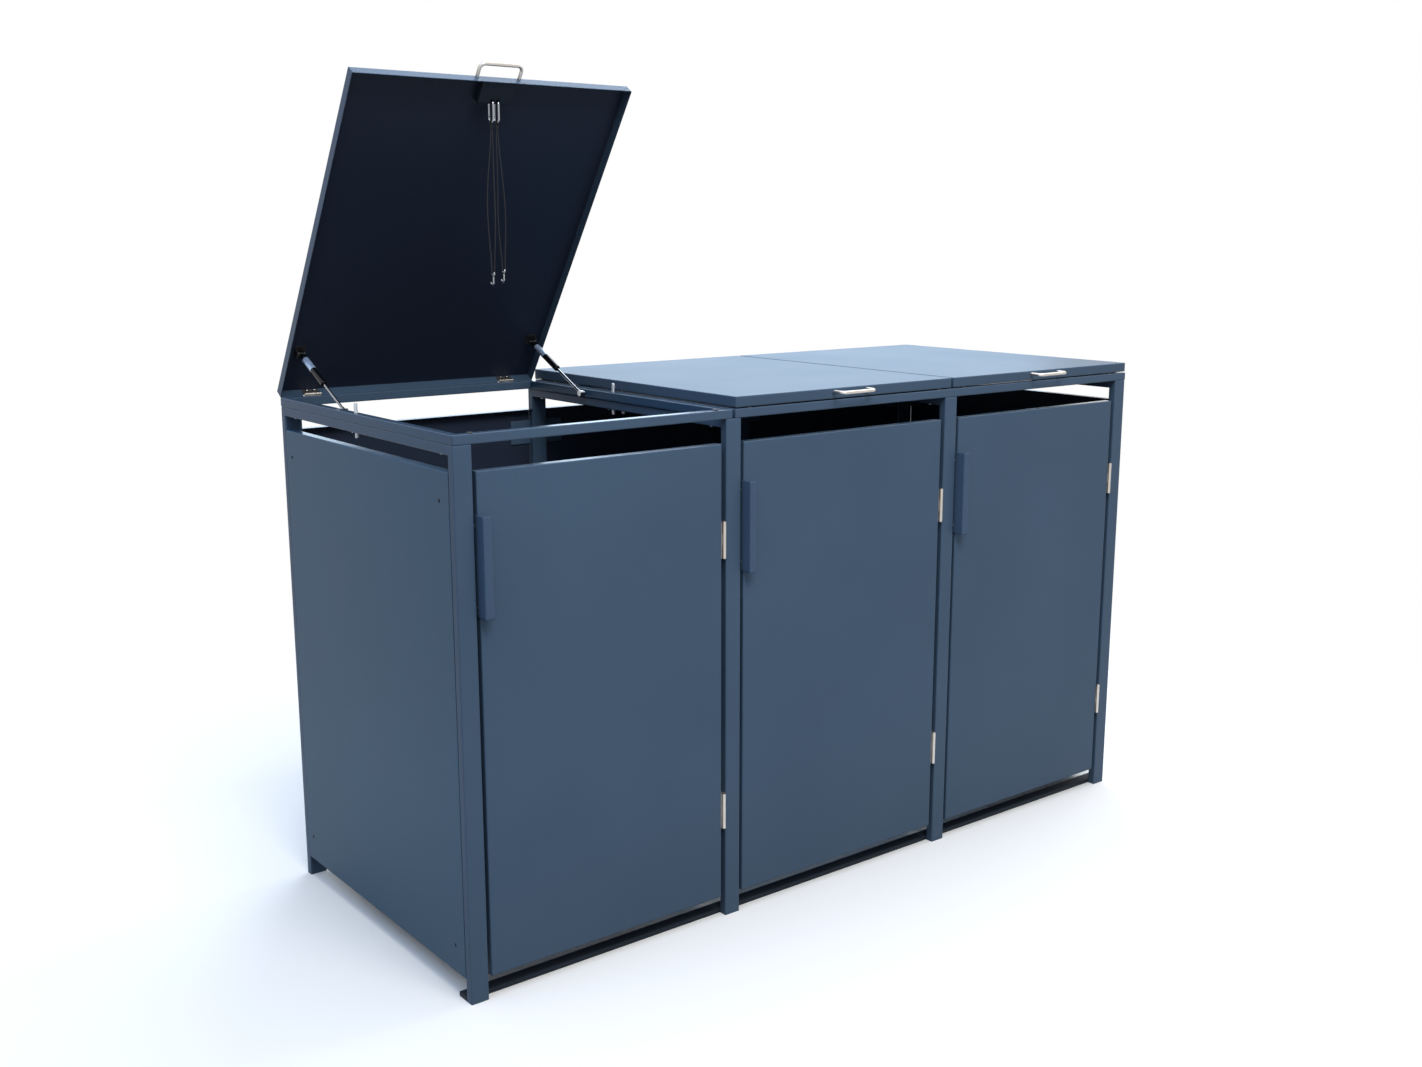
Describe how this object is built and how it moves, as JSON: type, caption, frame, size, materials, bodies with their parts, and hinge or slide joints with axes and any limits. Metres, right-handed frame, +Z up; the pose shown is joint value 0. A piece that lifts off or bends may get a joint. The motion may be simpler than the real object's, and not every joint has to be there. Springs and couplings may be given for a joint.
{
  "type": "wheelie bin store",
  "caption": "Steel store for wheelie bins: folded doors and lift-up lids on gas struts, hung in a frame of square tube.",
  "frame": {"origin": "on the ground under the middle of the whole box, with the left lid open", "axes": "+X to the right along the three bays, +Y to the back, +Z up"},
  "size_m": [2.0116, 0.864, 1.8612],
  "materials": {
    "frame_paint": "satin powder coat, anthracite",
    "panel_paint": "satin powder coat, anthracite",
    "door_paint": "satin powder coat, anthracite",
    "handle_paint": "satin powder coat, anthracite",
    "lid_paint": "satin powder coat, anthracite",
    "bracket_paint": "satin powder coat, dark",
    "bar_paint": "satin powder coat, near black",
    "stainless": "brushed",
    "zinc_steel": "bright zinc",
    "black_steel": "black",
    "dark_rivets": "dark paint",
    "strut_paint": "gloss black",
    "rod_steel": "polished",
    "buffer_rubber": "matte dark grey",
    "plug_plastic": "matte black",
    "cord_fibre": "braided black cord",
    "clip_steel": "polished"
  },
  "bodies": {
    "root": {"side_frame_left": "frame_paint", "middle_frame_1": "frame_paint", "middle_frame_2": "frame_paint", "side_frame_right": "frame_paint", "side_panel_left": "panel_paint", "side_panel_right": "panel_paint", "back_panel_1": "panel_paint", "back_panel_2": "panel_paint", "back_panel_3": "panel_paint", "threshold_bar": "bar_paint", "top_frame_single": "frame_paint", "top_frame_double": "frame_paint", "door_hinge_frame_leaves": "stainless", "lid_hinge_frame_leaves": "stainless", "clamp_studs": "zinc_steel", "frame_screws": "zinc_steel", "panel_rivets": "dark_rivets", "door_stops": "frame_paint", "lid_buffers": "buffer_rubber", "post_plugs": "plug_plastic"},
    "door_1": {"door_1": "door_paint", "door_handle_1": "handle_paint", "door_hinge_leaves_1": "stainless", "handle_rivets_1": "zinc_steel"},
    "door_2": {"door_2": "door_paint", "door_handle_2": "handle_paint", "door_hinge_leaves_2": "stainless", "handle_rivets_2": "zinc_steel"},
    "door_3": {"door_3": "door_paint", "door_handle_3": "handle_paint", "door_hinge_leaves_3": "stainless", "handle_rivets_3": "zinc_steel"},
    "lid_1": {"lid_1": "lid_paint", "lid_handle_1": "stainless", "lid_bracket_1": "bracket_paint", "lid_hinge_leaves_1": "stainless", "lid_fixings_1": "black_steel"},
    "strut_cylinders_1": {"strut_cylinders_1": "strut_paint"},
    "strut_rods_1": {"strut_rods_1": "rod_steel"},
    "lid_2": {"lid_2": "lid_paint", "lid_handle_2": "stainless", "lid_bracket_2": "bracket_paint", "lid_hinge_leaves_2": "stainless", "lid_fixings_2": "black_steel"},
    "strut_cylinders_2": {"strut_cylinders_2": "strut_paint"},
    "strut_rods_2": {"strut_rods_2": "rod_steel"},
    "lid_3": {"lid_3": "lid_paint", "lid_handle_3": "stainless", "lid_bracket_3": "bracket_paint", "lid_hinge_leaves_3": "stainless", "lid_fixings_3": "black_steel"},
    "strut_cylinders_3": {"strut_cylinders_3": "strut_paint"},
    "strut_rods_3": {"strut_rods_3": "rod_steel"},
    "snap_hooks": {"snap_hooks": "stainless", "cord_left": "cord_fibre", "cord_right": "cord_fibre", "cord_knots": "cord_fibre", "cord_clips": "clip_steel"},
    "snap_gates": {"snap_gates": "stainless"}
  },
  "joints": [
    {"name": "door_1_hinge", "type": "hinge", "parent": "root", "child": "door_1", "pos_m": [-0.36125, -0.3975, 0.56], "axis": [0, 0, 1], "range_deg": [0, 120]},
    {"name": "door_2_hinge", "type": "hinge", "parent": "root", "child": "door_2", "pos_m": [0.30875, -0.3975, 0.56], "axis": [0, 0, 1], "range_deg": [0, 120]},
    {"name": "door_3_hinge", "type": "hinge", "parent": "root", "child": "door_3", "pos_m": [0.95875, -0.3975, 0.56], "axis": [0, 0, 1], "range_deg": [0, 120]},
    {"name": "lid_1_hinge", "type": "hinge", "parent": "root", "child": "lid_1", "pos_m": [-0.672, 0.41119, 1.1532], "axis": [-1, 0, 0], "range_deg": [-56, 0]},
    {"name": "strut_1_swing", "type": "hinge", "parent": "lid_1", "child": "strut_cylinders_1", "pos_m": [-0.672, 0.3577, 1.25004], "axis": [1, 0, 0], "range_deg": [-74.77, 0]},
    {"name": "strut_1_slide", "type": "slide", "parent": "strut_cylinders_1", "child": "strut_rods_1", "axis": [0, -0.8949, -0.4462], "range_m": [-0.08089, 0]},
    {"name": "lid_2_hinge", "type": "hinge", "parent": "root", "child": "lid_2", "pos_m": [0.002, 0.41119, 1.1532], "axis": [-1, 0, 0], "range_deg": [0, 56]},
    {"name": "strut_2_swing", "type": "hinge", "parent": "lid_2", "child": "strut_cylinders_2", "pos_m": [0.002, 0.301, 1.163], "axis": [1, 0, 0], "range_deg": [0, 74.77]},
    {"name": "strut_2_slide", "type": "slide", "parent": "strut_cylinders_2", "child": "strut_rods_2", "axis": [0, -0.9909, -0.1346], "range_m": [0, 0.08089]},
    {"name": "lid_3_hinge", "type": "hinge", "parent": "root", "child": "lid_3", "pos_m": [0.672, 0.41119, 1.1532], "axis": [-1, 0, 0], "range_deg": [0, 56]},
    {"name": "strut_3_swing", "type": "hinge", "parent": "lid_3", "child": "strut_cylinders_3", "pos_m": [0.672, 0.301, 1.163], "axis": [1, 0, 0], "range_deg": [0, 74.77]},
    {"name": "strut_3_slide", "type": "slide", "parent": "strut_cylinders_3", "child": "strut_rods_3", "axis": [0, -0.9909, -0.1346], "range_m": [0, 0.08089]},
    {"name": "snap_hooks_hang", "type": "hinge", "parent": "lid_1", "child": "snap_hooks", "pos_m": [-0.672, -0.00665, 1.77904], "axis": [-1, 0, 0], "range_deg": [0, 56]},
    {"name": "snap_gates_open", "type": "hinge", "parent": "snap_hooks", "child": "snap_gates", "pos_m": [-0.672, 0.00235, 1.75804], "axis": [1, 0, 0], "range_deg": [0, 20], "stiffness_Nm_per_rad": 0.02}
  ],
  "couplings": [
    {"joint": "strut_1_swing", "follows": "lid_1_hinge", "ratio": 1.3351},
    {"joint": "strut_1_slide", "follows": "lid_1_hinge", "m_per_rad": 0.082762},
    {"joint": "strut_2_swing", "follows": "lid_2_hinge", "ratio": 1.3351},
    {"joint": "strut_2_slide", "follows": "lid_2_hinge", "m_per_rad": 0.082762},
    {"joint": "strut_3_swing", "follows": "lid_3_hinge", "ratio": 1.3351},
    {"joint": "strut_3_slide", "follows": "lid_3_hinge", "m_per_rad": 0.082762},
    {"joint": "snap_hooks_hang", "follows": "lid_1_hinge", "ratio": -1}
  ]
}
